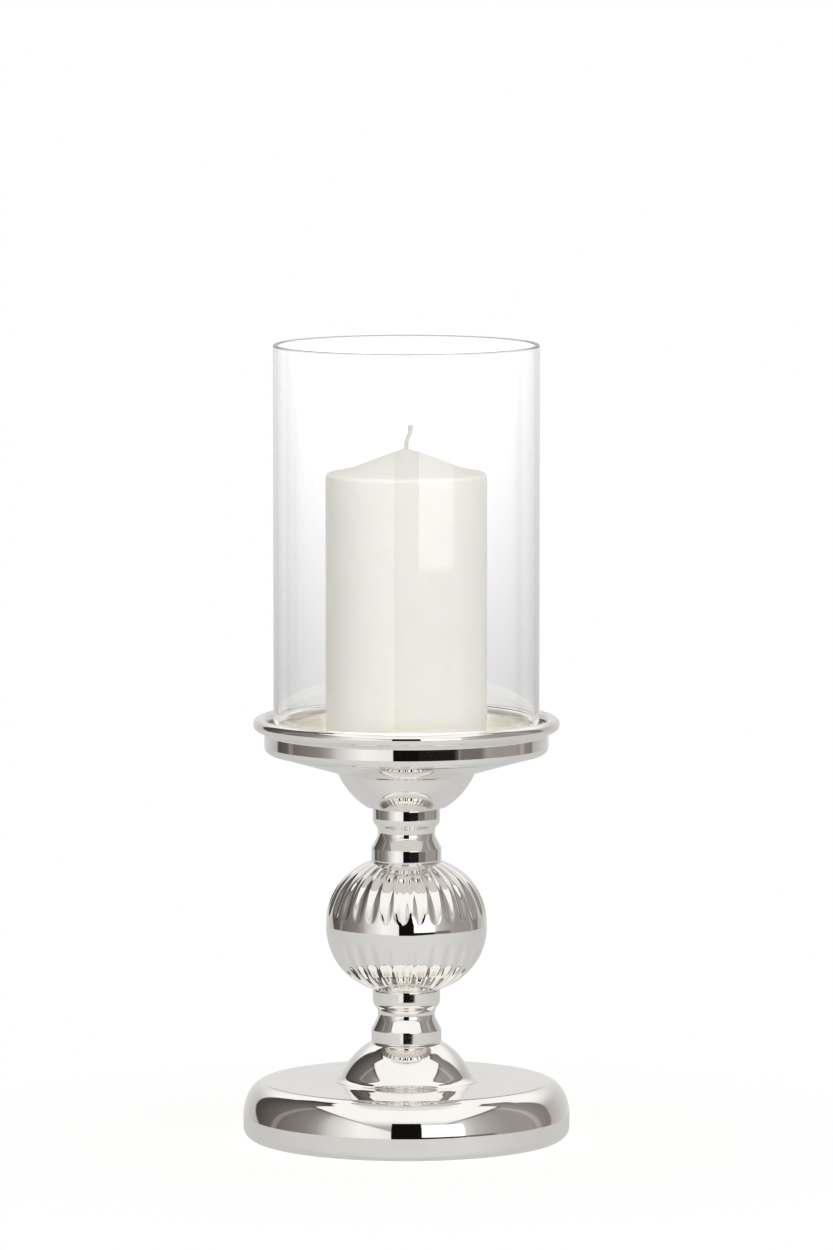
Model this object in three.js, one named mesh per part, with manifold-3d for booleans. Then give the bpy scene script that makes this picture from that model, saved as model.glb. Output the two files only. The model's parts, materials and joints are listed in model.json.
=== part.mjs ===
// Hurricane lantern: a weighted round base, a turned stem with a fluted ball, a drip tray,
// a straight glass chimney and a pillar candle. The metal is silver-plated, spun or turned.
// Millimetres, +Z up. The felt foot rests on z = 0 and every turned piece shares the Z axis.
// Each piece is drawn from its own lower face at z = 0 and then set at its height in the stack.

import * as THREE from "three";
import { mergeVertices } from "three/addons/utils/BufferGeometryUtils.js";
import loadManifold from "manifold-3d";

// Facets round the axis
const WIDE_FACETS = 36;
const STEM_FACETS = 24;
const FASTENER_FACETS = 16;

// Sheet, fits and fasteners
const SHEET = 1.4;                  // wall of the spun base, bowl and tray
const FIT_GAP = 0.3;                // gap between a piece and the one it drops into
const ROD_DIAMETER = 8;
const ROD_CLEARANCE = 0.4;          // gap round the tie rod in every plain bore
const THREAD_GAP = 0.05;            // gap round it in a nut
const ROD_TAIL = 2;                 // rod showing beyond each nut
const ROD_CHAMFER = 0.8;
const NUT_ACROSS_FLATS = 13;
const NUT_HEIGHT = 6.5;
const WASHER_DIAMETER = 24;
const WASHER_THICKNESS = 1.6;
const SPRING_WASHER_DIAMETER = 14.8;
const SPRING_WASHER_THICKNESS = 2.2;
const SPRING_WASHER_SLIT = 1.6;

// Base
const FELT_THICKNESS = 2.4;
const FELT_PROUD = 0.6;             // felt showing below the metal foot
const BOARD_THICKNESS = 2.5;
const BASE_RADIUS = 81.2;
const BASE_HEIGHT = 29.5;           // table to the outer edge of the flat top
const BASE_TOP_RISE = 0.4;          // how far the top climbs towards the dome
const SHOULDER_WIDTH = 11.4;
const SHOULDER_DEPTH = 17;
const FOOT_ROUND = 6.4;
const FOOT_FLAT = 3.3;              // width of the flat ring that is turned in under the base
const FOOT_LIP = 6;                 // height of the lip turned up inside it
const STEM_FOOT = 48.6;             // table to the flat seat on the dome
const DOME_RADIUS = 35.4;
const DOME_SEAT_RADIUS = 18.4;
const DOME_FILLET = 5.5;
const BALLAST_THICKNESS = 11;
const BALLAST_MARGIN = 8;           // from the ballast's rim to the start of the shoulder
const BALLAST_CHAMFER = 1.5;
const HUB_FOOT_RADIUS = 20;
const HUB_TOP_RADIUS = 14;
const RECESS_PLAY = 1.5;            // finger room round the washer in the ballast

// Stem spools, two alike
const SPOOL_HEIGHT = 27.6;
const SPOOL_FOOT_RADIUS = 17.4;
const SPOOL_FOOT_BAND = 6.9;
const SPOOL_WAIST_RADIUS = 14.1;
const SPOOL_CAP_RADIUS = 16.7;
const SPOOL_CAP_BAND = 5.7;
const SPOOL_COVE = 7.2;             // waist to the lower edge of the cap band
const SPOOL_FLARE_STEP = 0.9;       // how far the straight flare stops short of the waist radius
const SPOOL_FLARE_EASE = 3.2;       // height over which the flare eases into the waist
const SPOOL_EDGE = 1.1;

// Fluted ball
const BALL_RADIUS = 40;
const BALL_HEIGHT = 63.2;           // between the two spools
const BALL_POLE_CUT = 3;            // what each flat seat takes off a pole
const BALL_FULLNESS = 2.17;         // exponent of the outline: 2 is an ellipse, more is squarer
const BALL_WALL = 2.4;
const FLUTE_COUNT = 30;
const FLUTE_FILL = 0.74;            // part of the pitch that a flute takes, the rest is ridge
const FLUTE_NOSE = 0.54;            // round nose of the tool that presses a flute, as a part of the pitch
const FLUTE_END = 9;                // length of the rounded tongue that ends a flute
const FLUTE_TURN = -92.4;           // degrees from +X to the middle of the first flute
const PLAIN_BAND = 9;               // smooth band left round the equator
const SPACER_DIAMETER = 14;

// Bowl and drip tray
const BOWL_RADIUS = 37;
const BOWL_SEAT_RADIUS = 20;
const BOWL_FILLET = 2.5;
const CONE_SLOPE = 0.288;           // rise over run of the tray's conical underside
const RIM_EDGE = 0.3;               // blunt edge of the cone where it is faced off under the tray
const TRAY_RISE = 26.4;             // top of the stem to the tray's underside
const TRAY_RADIUS = 70.6;
const TRAY_CORNER = 4;
const TRAY_DEPTH = 16.6;            // tray floor to the crest of the lip
const LIP_OVERHANG = 5.5;
const BEAD_RADIUS = 3.2;
const BEAD_START = -75;             // degrees round the bead, from the flare under it
const BEAD_END = 140;               // to the flare inside the tray
const LIP_FLARE = 5;                // how far below the bead's middle the outer flare starts
const LIP_INNER_FLARE = 2;          // and the inner flare ends

// Chimney, candle and wick
const GLASS_PLAY = 3.2;             // gap between the glass and the tray wall
const GLASS_WALL = 2.3;
const GLASS_HEIGHT = 202;
const GLASS_EDGE = 0.8;
const CANDLE_DIAMETER = 80;
const CANDLE_HEIGHT = 150;
const CANDLE_EDGE = 2.2;
const CANDLE_FOOT_EDGE = 1;
const CROWN_TURN = 75;              // degrees that the rounded shoulder turns through
const CROWN_RING = 10;              // width of the gently sloping ring inside the shoulder
const CROWN_RING_RISE = 1.2;
const CROWN_SLOPE = 0.385;          // rise over run of the cone inside that ring
const NUB_FOOT_RADIUS = 7;
const NUB_RADIUS = 3;
const NUB_RISE = 1.35;
const WICK_DIAMETER = 2.4;
const WICK_FREE = 12;
const WICK_LEAN = 2;
const WICK_STRAIGHT = 0.22;         // part of the free length that rises straight before it leans
const WICK_BEND = 0.6;              // part of it over which it leans, before it stands up again
const WICK_SIDES = 8;

// Sizes that follow from those above
const rodBore = ROD_DIAMETER / 2 + ROD_CLEARANCE;
const footOpening = BASE_RADIUS - FOOT_ROUND - FOOT_FLAT;
const boardRadius = footOpening - FIT_GAP;
const coneRadius = TRAY_RADIUS - TRAY_CORNER;
const trayInside = TRAY_RADIUS - SHEET;
const wickBore = WICK_DIAMETER / 2 + FIT_GAP;

// Heights in the stack
const ballastFoot = BASE_HEIGHT - SHEET - FIT_GAP - BALLAST_THICKNESS;
const nutRecess = WASHER_THICKNESS + SPRING_WASHER_THICKNESS + NUT_HEIGHT + ROD_TAIL;
const lowerWasherFoot = ballastFoot + nutRecess - WASHER_THICKNESS;
const springWasherFoot = lowerWasherFoot - SPRING_WASHER_THICKNESS;
const lowerNutFoot = springWasherFoot - NUT_HEIGHT;
const ballFoot = STEM_FOOT + SPOOL_HEIGHT;
const upperSpoolFoot = ballFoot + BALL_HEIGHT;
const stemTop = upperSpoolFoot + SPOOL_HEIGHT;
const upperWasherFoot = stemTop + SHEET;
const upperNutFoot = upperWasherFoot + WASHER_THICKNESS;
const rodLength = upperNutFoot + NUT_HEIGHT + ROD_TAIL - ballastFoot;
const trayFoot = stemTop + TRAY_RISE;
const trayFloor = trayFoot + SHEET;

const wasm = await loadManifold();
wasm.setup();

// The turn that carries the lathe's own axis, Y, onto Z
const UPRIGHT = new THREE.Matrix4().makeBasis(
  new THREE.Vector3(0, 1, 0),
  new THREE.Vector3(0, 0, 1),
  new THREE.Vector3(1, 0, 0),
);

function point(radius, height) {
  return new THREE.Vector2(radius, height);
}

// Points on an elliptical arc about a centre, with the angles in degrees
function arc(centreR, centreZ, halfWidth, halfHeight, fromDegrees, toDegrees, steps) {
  const points = [];
  for (let i = 0; i <= steps; i += 1) {
    const angle = THREE.MathUtils.degToRad(THREE.MathUtils.lerp(fromDegrees, toDegrees, i / steps));
    points.push(point(centreR + halfWidth * Math.cos(angle), centreZ + halfHeight * Math.sin(angle)));
  }
  return points;
}

// Points on a curve that leaves one point and reaches another, pulled towards a corner between them
function ease(from, corner, to, steps) {
  return new THREE.QuadraticBezierCurve(from, corner, to).getPoints(steps);
}

function withoutRepeats(points) {
  return points.filter((p, i) => i === 0 || p.distanceTo(points[i - 1]) > 1e-6);
}

// Solid of revolution from a section that runs anticlockwise, with its radius across and height up
function turned(section, facets) {
  const outline = withoutRepeats(section);
  const first = outline[0];
  const last = outline[outline.length - 1];
  if (first.x > 0 || last.x > 0) {
    outline.push(first.clone());
  }
  return new THREE.LatheGeometry(outline, facets).applyMatrix4(UPRIGHT);
}

// The same line set over to its left by a sheet's thickness, with mitred corners
function setOver(line, thickness) {
  const leftOf = (from, to) => {
    const along = to.clone().sub(from).normalize();
    return point(-along.y, along.x);
  };
  return line.map((p, i) => {
    const before = i > 0 ? leftOf(line[i - 1], p) : leftOf(p, line[i + 1]);
    const after = i < line.length - 1 ? leftOf(p, line[i + 1]) : before;
    const mitre = before.clone().add(after).normalize();
    return p.clone().addScaledVector(mitre, thickness / mitre.dot(before));
  });
}

// Closed skin over a stack of rings that run anticlockwise, with a flat fan over each end
function skinned(rings) {
  const count = rings[0].length;
  const bottom = new THREE.Vector3();
  const top = new THREE.Vector3();
  rings[0].forEach((p) => bottom.addScaledVector(p, 1 / count));
  rings[rings.length - 1].forEach((p) => top.addScaledVector(p, 1 / count));
  const vertices = [...rings.flat(), bottom, top];
  const bottomIndex = vertices.length - 2;
  const topIndex = vertices.length - 1;
  const lastRing = (rings.length - 1) * count;
  const triangles = [];
  for (let j = 0; j < count; j += 1) {
    const k = (j + 1) % count;
    for (let row = 0; row < lastRing; row += count) {
      triangles.push(row + j, row + k, row + count + k);
      triangles.push(row + j, row + count + k, row + count + j);
    }
    triangles.push(bottomIndex, k, j);
    triangles.push(topIndex, lastRing + j, lastRing + k);
  }
  const geometry = new THREE.BufferGeometry().setFromPoints(vertices);
  geometry.setIndex(triangles);
  return geometry;
}

// A closed geometry as a solid that can be cut
function toSolid(geometry) {
  const bare = geometry.clone();
  bare.deleteAttribute("normal");
  bare.deleteAttribute("uv");
  const merged = mergeVertices(bare);
  const index = merged.index.array;
  const triangles = [];
  for (let i = 0; i < index.length; i += 3) {
    const [a, b, c] = index.slice(i, i + 3);
    if (a !== b && b !== c && c !== a) {
      triangles.push(a, b, c);
    }
  }
  const mesh = new wasm.Mesh({
    numProp: 3,
    vertProperties: Float32Array.from(merged.attributes.position.array),
    triVerts: Uint32Array.from(triangles),
  });
  return new wasm.Manifold(mesh);
}

function toGeometry(solid) {
  const mesh = solid.getMesh();
  const geometry = new THREE.BufferGeometry();
  geometry.setAttribute("position", new THREE.BufferAttribute(mesh.vertProperties, mesh.numProp));
  geometry.setIndex(new THREE.BufferAttribute(mesh.triVerts, 1));
  return geometry;
}

// Flat disc, or a ring where it has a hole
function disc(radius, thickness, hole, facets) {
  const section = [point(radius, 0), point(radius, thickness), point(hole, thickness)];
  return turned([point(hole, 0), ...section], facets);
}

// Spun base: turned-up lip, flat foot, rounded rim, flat top and a dome with a flat seat
function baseShell() {
  const top = BASE_HEIGHT - FELT_PROUD;
  const seat = STEM_FOOT - FELT_PROUD;
  const rimCentre = BASE_RADIUS - FOOT_ROUND;
  const shoulderFoot = top - SHOULDER_DEPTH;
  const shoulderCentre = BASE_RADIUS - SHOULDER_WIDTH;
  const domeCentre = seat - Math.sqrt(DOME_RADIUS ** 2 - DOME_SEAT_RADIUS ** 2);
  const filletHeight = top + BASE_TOP_RISE + DOME_FILLET;
  const filletRise = filletHeight - domeCentre;
  const filletRadius = Math.sqrt((DOME_RADIUS + DOME_FILLET) ** 2 - filletRise ** 2);
  const domeStart = THREE.MathUtils.radToDeg(Math.atan2(filletRise, filletRadius));
  const domeEnd = THREE.MathUtils.radToDeg(Math.acos(DOME_SEAT_RADIUS / DOME_RADIUS));
  const outside = withoutRepeats([
    point(footOpening, FOOT_LIP),
    point(footOpening, 0),
    ...arc(rimCentre, FOOT_ROUND, FOOT_ROUND, FOOT_ROUND, -90, 0, 3),
    ...arc(shoulderCentre, shoulderFoot, SHOULDER_WIDTH, SHOULDER_DEPTH, 0, 90, 5),
    ...arc(filletRadius, filletHeight, DOME_FILLET, DOME_FILLET, 270, 180 + domeStart, 3),
    ...arc(0, domeCentre, DOME_RADIUS, DOME_RADIUS, domeStart, domeEnd, 3),
    point(rodBore, seat),
  ]);
  return turned([...outside, ...setOver(outside, SHEET).reverse()], WIDE_FACETS);
}

// Cast disc whose hub reaches up to the dome's seat, with a recess below for the nut and washers
function ballastWeight() {
  const rim = BASE_RADIUS - SHOULDER_WIDTH - BALLAST_MARGIN;
  const hubTop = STEM_FOOT - SHEET - ballastFoot;
  const recessRadius = WASHER_DIAMETER / 2 + RECESS_PLAY;
  return turned([
    point(recessRadius, 0),
    point(rim - BALLAST_CHAMFER, 0),
    point(rim, BALLAST_CHAMFER),
    point(rim, BALLAST_THICKNESS - BALLAST_CHAMFER),
    point(rim - BALLAST_CHAMFER, BALLAST_THICKNESS),
    point(HUB_FOOT_RADIUS, BALLAST_THICKNESS),
    point(HUB_TOP_RADIUS, hubTop),
    point(rodBore, hubTop),
    point(rodBore, nutRecess),
    point(recessRadius, nutRecess),
  ], STEM_FACETS);
}

// Turned spool: tall foot band, straight flare, cove waist and a cap band
function stemSpool() {
  const capFoot = SPOOL_HEIGHT - SPOOL_CAP_BAND;
  const waist = capFoot - SPOOL_COVE;
  const footEdge = SPOOL_FOOT_RADIUS - SPOOL_EDGE;
  const capEdge = SPOOL_CAP_RADIUS - SPOOL_EDGE;
  const flareTop = point(SPOOL_WAIST_RADIUS + SPOOL_FLARE_STEP, waist - SPOOL_FLARE_EASE);
  const waistPoint = point(SPOOL_WAIST_RADIUS, waist);
  const swing = (SPOOL_CAP_RADIUS - SPOOL_WAIST_RADIUS) / 2;
  const coveMiddle = point(SPOOL_WAIST_RADIUS + swing, waist + SPOOL_COVE / 2);
  const coveCorner = point(SPOOL_WAIST_RADIUS, coveMiddle.y - swing);
  const capCorner = point(SPOOL_CAP_RADIUS, coveMiddle.y + swing);
  return turned([
    point(rodBore, 0),
    ...arc(footEdge, SPOOL_EDGE, SPOOL_EDGE, SPOOL_EDGE, -90, 0, 2),
    point(SPOOL_FOOT_RADIUS, SPOOL_FOOT_BAND),
    ...ease(flareTop, point(SPOOL_WAIST_RADIUS, flareTop.y + SPOOL_FLARE_EASE / 2), waistPoint, 2),
    ...ease(waistPoint, coveCorner, coveMiddle, 2),
    ...ease(coveMiddle, capCorner, point(SPOOL_CAP_RADIUS, capFoot), 2),
    ...arc(capEdge, SPOOL_HEIGHT - SPOOL_EDGE, SPOOL_EDGE, SPOOL_EDGE, 0, 90, 2),
    point(rodBore, SPOOL_HEIGHT),
  ], STEM_FACETS);
}

// Radius of the ball's outline at a height above or below its equator
function ballOutline(height, radius, crown) {
  const reach = Math.abs(height / crown) ** BALL_FULLNESS;
  return radius * (1 - reach) ** (1 / BALL_FULLNESS);
}

// Heights of the ball's rings above the equator: plain band, tongue ends, then flutes to the seat
function ballRings(tongueSteps, fluteSteps) {
  const tip = PLAIN_BAND / 2;
  const seat = BALL_HEIGHT / 2;
  const crown = seat + BALL_POLE_CUT;
  const fluteStart = Math.asin((tip + FLUTE_END) / crown);
  const fluteStop = Math.asin(seat / crown);
  const heights = [];
  for (let i = 0; i < tongueSteps; i += 1) {
    heights.push(tip + FLUTE_END * (i / tongueSteps) ** 2);
  }
  for (let i = 0; i <= fluteSteps; i += 1) {
    heights.push(crown * Math.sin(THREE.MathUtils.lerp(fluteStart, fluteStop, i / fluteSteps)));
  }
  heights[heights.length - 1] = seat;
  return [...heights.map((h) => -h).reverse(), 0, ...heights];
}

// Depth of the flutes at a height and at a place across the pitch, from -0.5 to 0.5:
// a round-nosed tool of radius R that leaves a groove of half-width w is w * w / (2 * R) deep.
// R narrows with the pitch, so a flute keeps its shape up to the seat, and the half-width
// closes in a half ellipse towards the plain band.
function fluteDepth(height, across, pitch) {
  const pastTip = (Math.abs(height) - PLAIN_BAND / 2) / FLUTE_END;
  const opening = Math.sqrt(1 - (1 - THREE.MathUtils.clamp(pastTip, 0, 1)) ** 2);
  const halfWidth = pitch * FLUTE_FILL / 2 * opening;
  return Math.max(0, halfWidth ** 2 - (across * pitch) ** 2) / (2 * FLUTE_NOSE * pitch);
}

// Hollow ball with flutes pressed in above and below a plain band, and a flat seat at each pole
function flutedBall() {
  const columnsPerFlute = 4;
  const columns = FLUTE_COUNT * columnsPerFlute;
  const crown = BALL_HEIGHT / 2 + BALL_POLE_CUT;
  const startAngle = THREE.MathUtils.degToRad(FLUTE_TURN);
  const rings = ballRings(4, 4).map((height) => {
    const radius = ballOutline(height, BALL_RADIUS, crown);
    const pitch = 2 * Math.PI * radius / FLUTE_COUNT;
    return Array.from({ length: columns }, (_, j) => {
      const turns = j / columnsPerFlute;
      const across = turns - Math.round(turns);
      const fluted = radius - fluteDepth(height, across, pitch);
      const angle = startAngle + 2 * Math.PI * turns / FLUTE_COUNT;
      const level = BALL_HEIGHT / 2 + height;
      return new THREE.Vector3(fluted * Math.cos(angle), fluted * Math.sin(angle), level);
    });
  });
  return toGeometry(toSolid(skinned(rings)).subtract(toSolid(ballHollow())));
}

// Room inside the ball, with flat ends for the spacer and a bore through both poles
function ballHollow() {
  const middle = BALL_HEIGHT / 2;
  const reach = middle - BALL_WALL;
  const crown = middle + BALL_POLE_CUT - BALL_WALL;
  const steps = 6;
  const side = [];
  for (let i = 0; i <= steps; i += 1) {
    const height = reach * Math.sin(Math.PI * (i / steps - 0.5));
    side.push(point(ballOutline(height, BALL_RADIUS - BALL_WALL, crown), middle + height));
  }
  return turned([
    point(0, -BALL_WALL),
    point(rodBore, -BALL_WALL),
    point(rodBore, BALL_WALL),
    ...side,
    point(rodBore, BALL_HEIGHT - BALL_WALL),
    point(rodBore, BALL_HEIGHT + BALL_WALL),
    point(0, BALL_HEIGHT + BALL_WALL),
  ], STEM_FACETS);
}

// Spun bowl that opens by a small fillet into the cone under the tray
function trayBowl() {
  const seatAngle = -THREE.MathUtils.radToDeg(Math.acos(BOWL_SEAT_RADIUS / BOWL_RADIUS));
  const centre = Math.sqrt(BOWL_RADIUS ** 2 - BOWL_SEAT_RADIUS ** 2);
  const coneHeight = (radius) => TRAY_RISE + CONE_SLOPE * (radius - coneRadius);
  // The fillet touches the cone at radius u and the bowl's sphere; u is the root of a quadratic
  const slant = Math.sqrt(1 + CONE_SLOPE ** 2);
  const shift = BOWL_FILLET * CONE_SLOPE / slant;
  const drop = coneHeight(0) - BOWL_FILLET / slant - centre;
  const half = shift + CONE_SLOPE * drop;
  const rest = shift ** 2 + drop ** 2 - (BOWL_RADIUS + BOWL_FILLET) ** 2;
  const u = (Math.sqrt(half ** 2 - slant ** 2 * rest) - half) / slant ** 2;
  const filletR = u + shift;
  const filletZ = centre + CONE_SLOPE * u + drop;
  const bowlEnd = THREE.MathUtils.radToDeg(Math.atan2(filletZ - centre, filletR));
  const coneStart = 90 + THREE.MathUtils.radToDeg(Math.atan(CONE_SLOPE));
  // The cone's sheet is faced off level at the top, which leaves a flat land for the tray
  const rim = coneRadius - RIM_EDGE / CONE_SLOPE;
  const landStart = coneRadius - SHEET * slant / CONE_SLOPE;
  const outside = withoutRepeats([
    point(rodBore, 0),
    ...arc(0, centre, BOWL_RADIUS, BOWL_RADIUS, seatAngle, bowlEnd, 3),
    ...arc(filletR, filletZ, BOWL_FILLET, BOWL_FILLET, 180 + bowlEnd, coneStart, 2),
    point(rim, coneHeight(rim)),
  ]);
  return turned([
    ...outside,
    point(rim, TRAY_RISE),
    point(landStart, TRAY_RISE),
    ...setOver(outside, SHEET).slice(0, -1).reverse(),
  ], WIDE_FACETS);
}

// Flat-floored dish with a rounded corner, an upright wall and a beaded lip that flares out
function dripTray() {
  const beadR = TRAY_RADIUS + LIP_OVERHANG - BEAD_RADIUS;
  const beadZ = SHEET + TRAY_DEPTH - BEAD_RADIUS;
  const bead = arc(beadR, beadZ, BEAD_RADIUS, BEAD_RADIUS, BEAD_START, BEAD_END, 7);
  const beadFirst = bead[0];
  const beadLast = bead[bead.length - 1];
  const startSlope = -1 / Math.tan(THREE.MathUtils.degToRad(BEAD_START));
  const endSlope = -1 / Math.tan(THREE.MathUtils.degToRad(BEAD_END));
  const outerCorner = point(TRAY_RADIUS, beadFirst.y - startSlope * (beadFirst.x - TRAY_RADIUS));
  const innerCorner = point(trayInside, beadLast.y - endSlope * (beadLast.x - trayInside));
  const innerRound = TRAY_CORNER - SHEET;
  return turned([
    point(0, 0),
    ...arc(coneRadius, TRAY_CORNER, TRAY_CORNER, TRAY_CORNER, -90, 0, 3),
    ...ease(point(TRAY_RADIUS, beadZ - LIP_FLARE), outerCorner, beadFirst, 2),
    ...bead,
    ...ease(beadLast, innerCorner, point(trayInside, beadZ - LIP_INNER_FLARE), 2),
    ...arc(coneRadius, TRAY_CORNER, innerRound, innerRound, 0, -90, 2),
    point(0, SHEET),
  ], WIDE_FACETS);
}

// Straight glass tube with rounded edges
function glassChimney() {
  const outside = trayInside - GLASS_PLAY;
  const inside = outside - GLASS_WALL;
  const edge = (centreR, centreZ, from) => arc(centreR, centreZ, GLASS_EDGE, GLASS_EDGE, from, from + 90, 2);
  return turned([
    ...edge(outside - GLASS_EDGE, GLASS_EDGE, -90),
    ...edge(outside - GLASS_EDGE, GLASS_HEIGHT - GLASS_EDGE, 0),
    ...edge(inside + GLASS_EDGE, GLASS_HEIGHT - GLASS_EDGE, 90),
    ...edge(inside + GLASS_EDGE, GLASS_EDGE, 180),
  ], WIDE_FACETS);
}

// Pillar candle: rounded shoulder, sloping ring, shallow cone and a nub where the wick comes out
function pillarCandle() {
  const radius = CANDLE_DIAMETER / 2;
  const coneFoot = radius - CROWN_RING;
  const coneTop = CANDLE_HEIGHT - NUB_RISE;
  const ringTop = coneTop - CROWN_SLOPE * (coneFoot - NUB_FOOT_RADIUS);
  const shoulder = ringTop - CROWN_RING_RISE;
  return turned([
    point(wickBore, 0),
    point(radius - CANDLE_FOOT_EDGE, 0),
    point(radius, CANDLE_FOOT_EDGE),
    ...arc(radius - CANDLE_EDGE, shoulder - CANDLE_EDGE, CANDLE_EDGE, CANDLE_EDGE, 0, CROWN_TURN, 2),
    point(coneFoot, ringTop),
    ...ease(point(NUB_FOOT_RADIUS, coneTop), point(NUB_RADIUS, coneTop + NUB_RISE / 2),
      point(NUB_RADIUS, CANDLE_HEIGHT), 2),
    point(wickBore, CANDLE_HEIGHT),
  ], WIDE_FACETS);
}

// Wick: straight through the wax, then leaning to one side in a soft S and standing up again
function candleWick() {
  const bendSteps = 5;
  const radius = WICK_DIAMETER / 2;
  const ringAt = (above) => {
    const lean = WICK_LEAN * THREE.MathUtils.smoothstep(above, WICK_STRAIGHT, WICK_STRAIGHT + WICK_BEND);
    return Array.from({ length: WICK_SIDES }, (_, j) => {
      const angle = 2 * Math.PI * j / WICK_SIDES;
      const height = CANDLE_HEIGHT + WICK_FREE * above;
      return new THREE.Vector3(lean + radius * Math.cos(angle), radius * Math.sin(angle), height);
    });
  };
  const rings = [ringAt(-CANDLE_HEIGHT / WICK_FREE)];
  for (let i = 0; i <= bendSteps; i += 1) {
    rings.push(ringAt(WICK_STRAIGHT + WICK_BEND * i / bendSteps));
  }
  rings.push(ringAt(1));
  return skinned(rings);
}

// Tie rod with chamfered ends
function tieRod() {
  const radius = ROD_DIAMETER / 2;
  return turned([
    point(0, 0),
    point(radius - ROD_CHAMFER, 0),
    point(radius, ROD_CHAMFER),
    point(radius, rodLength - ROD_CHAMFER),
    point(radius - ROD_CHAMFER, rodLength),
    point(0, rodLength),
  ], FASTENER_FACETS);
}

// Six-sided nut
function hexNut() {
  const outline = new THREE.Shape();
  const corner = NUT_ACROSS_FLATS / 2 / Math.cos(Math.PI / 6);
  for (let i = 0; i < 6; i += 1) {
    const angle = Math.PI / 3 * i;
    const x = corner * Math.cos(angle);
    const y = corner * Math.sin(angle);
    if (i === 0) {
      outline.moveTo(x, y);
    } else {
      outline.lineTo(x, y);
    }
  }
  outline.closePath();
  outline.holes.push(new THREE.Path().absarc(0, 0, ROD_DIAMETER / 2 + THREAD_GAP, 0, 2 * Math.PI, true));
  const curveSegments = FASTENER_FACETS / 2;
  return new THREE.ExtrudeGeometry(outline, { depth: NUT_HEIGHT, bevelEnabled: false, curveSegments });
}

// Spring washer: a flat ring split by a slit
function springWasher() {
  const radius = SPRING_WASHER_DIAMETER / 2;
  const outerHalf = Math.asin(SPRING_WASHER_SLIT / 2 / radius);
  const innerHalf = Math.asin(SPRING_WASHER_SLIT / 2 / rodBore);
  const outline = new THREE.Shape();
  outline.absarc(0, 0, radius, outerHalf, 2 * Math.PI - outerHalf, false);
  outline.absarc(0, 0, rodBore, 2 * Math.PI - innerHalf, innerHalf, true);
  outline.closePath();
  const depth = SPRING_WASHER_THICKNESS;
  const curveSegments = FASTENER_FACETS / 2;
  return new THREE.ExtrudeGeometry(outline, { depth, bevelEnabled: false, curveSegments });
}

// Finishes, one new material for each piece
function finish(color, roughness, metalness) {
  return new THREE.MeshStandardMaterial({ color, roughness, metalness });
}

const silverPlate = () => finish(0xd9d6d0, 0.06, 1);
const zincSteel = () => finish(0x9fa2a6, 0.35, 1);
const castIron = () => finish(0x4a4a4c, 0.7, 1);
const feltCloth = () => finish(0x26302b, 0.95, 0);
const greyBoard = () => finish(0x8a8175, 0.9, 0);
const ivoryWax = () => finish(0xeeeadc, 0.45, 0);
const cottonWick = () => finish(0xf1eee4, 0.9, 0);

function clearGlass() {
  const glass = finish(0xf4f7f7, 0.03, 0);
  glass.transparent = true;
  glass.opacity = 0.25;
  return glass;
}

// Assembly
const lantern = new THREE.Group();

function section(name) {
  const group = new THREE.Group();
  group.name = name;
  lantern.add(group);
  return group;
}

function place(group, name, geometry, material, height) {
  const mesh = new THREE.Mesh(geometry, material);
  mesh.name = name;
  mesh.position.z = height;
  group.add(mesh);
}

const base = section("base_group");
place(base, "felt_pad", disc(boardRadius, FELT_THICKNESS, 0, WIDE_FACETS), feltCloth(), 0);
place(base, "closing_board", disc(boardRadius, BOARD_THICKNESS, 0, WIDE_FACETS), greyBoard(), FELT_THICKNESS);
place(base, "base_shell", baseShell(), silverPlate(), FELT_PROUD);
place(base, "ballast_weight", ballastWeight(), castIron(), ballastFoot);

const stem = section("stem_group");
const plainWasher = () => disc(WASHER_DIAMETER / 2, WASHER_THICKNESS, rodBore, FASTENER_FACETS);
const spacerLength = BALL_HEIGHT - 2 * BALL_WALL;
const spacer = disc(SPACER_DIAMETER / 2, spacerLength, rodBore, FASTENER_FACETS);
place(stem, "tie_rod", tieRod(), zincSteel(), ballastFoot);
place(stem, "lower_nut", hexNut(), zincSteel(), lowerNutFoot);
place(stem, "spring_washer", springWasher(), zincSteel(), springWasherFoot);
place(stem, "lower_washer", plainWasher(), zincSteel(), lowerWasherFoot);
place(stem, "lower_spool", stemSpool(), silverPlate(), STEM_FOOT);
place(stem, "fluted_ball", flutedBall(), silverPlate(), ballFoot);
place(stem, "ball_spacer", spacer, zincSteel(), ballFoot + BALL_WALL);
place(stem, "upper_spool", stemSpool(), silverPlate(), upperSpoolFoot);
place(stem, "upper_washer", plainWasher(), zincSteel(), upperWasherFoot);
place(stem, "upper_nut", hexNut(), zincSteel(), upperNutFoot);

const holder = section("holder_group");
place(holder, "tray_bowl", trayBowl(), silverPlate(), stemTop);
place(holder, "drip_tray", dripTray(), silverPlate(), trayFoot);

const chimney = section("chimney_group");
place(chimney, "glass_chimney", glassChimney(), clearGlass(), trayFloor);

const candle = section("candle_group");
place(candle, "pillar_candle", pillarCandle(), ivoryWax(), trayFloor);
place(candle, "wick", candleWick(), cottonWick(), trayFloor);

export default lantern;
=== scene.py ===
# %% [markdown]
# # A silver-plated hurricane lantern
# This lesson dresses a finished CAD model of a lantern in Blender. The metal is brass, spun or turned on a
# lathe, silver-plated and polished to a mirror. A glass tube stands loose on the tray, round a candle.
# The CAD model is loaded as a fixed frame, so each new surface is drawn where the solid it stands for is.

# %% Load the frame
import json
from math import radians

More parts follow.
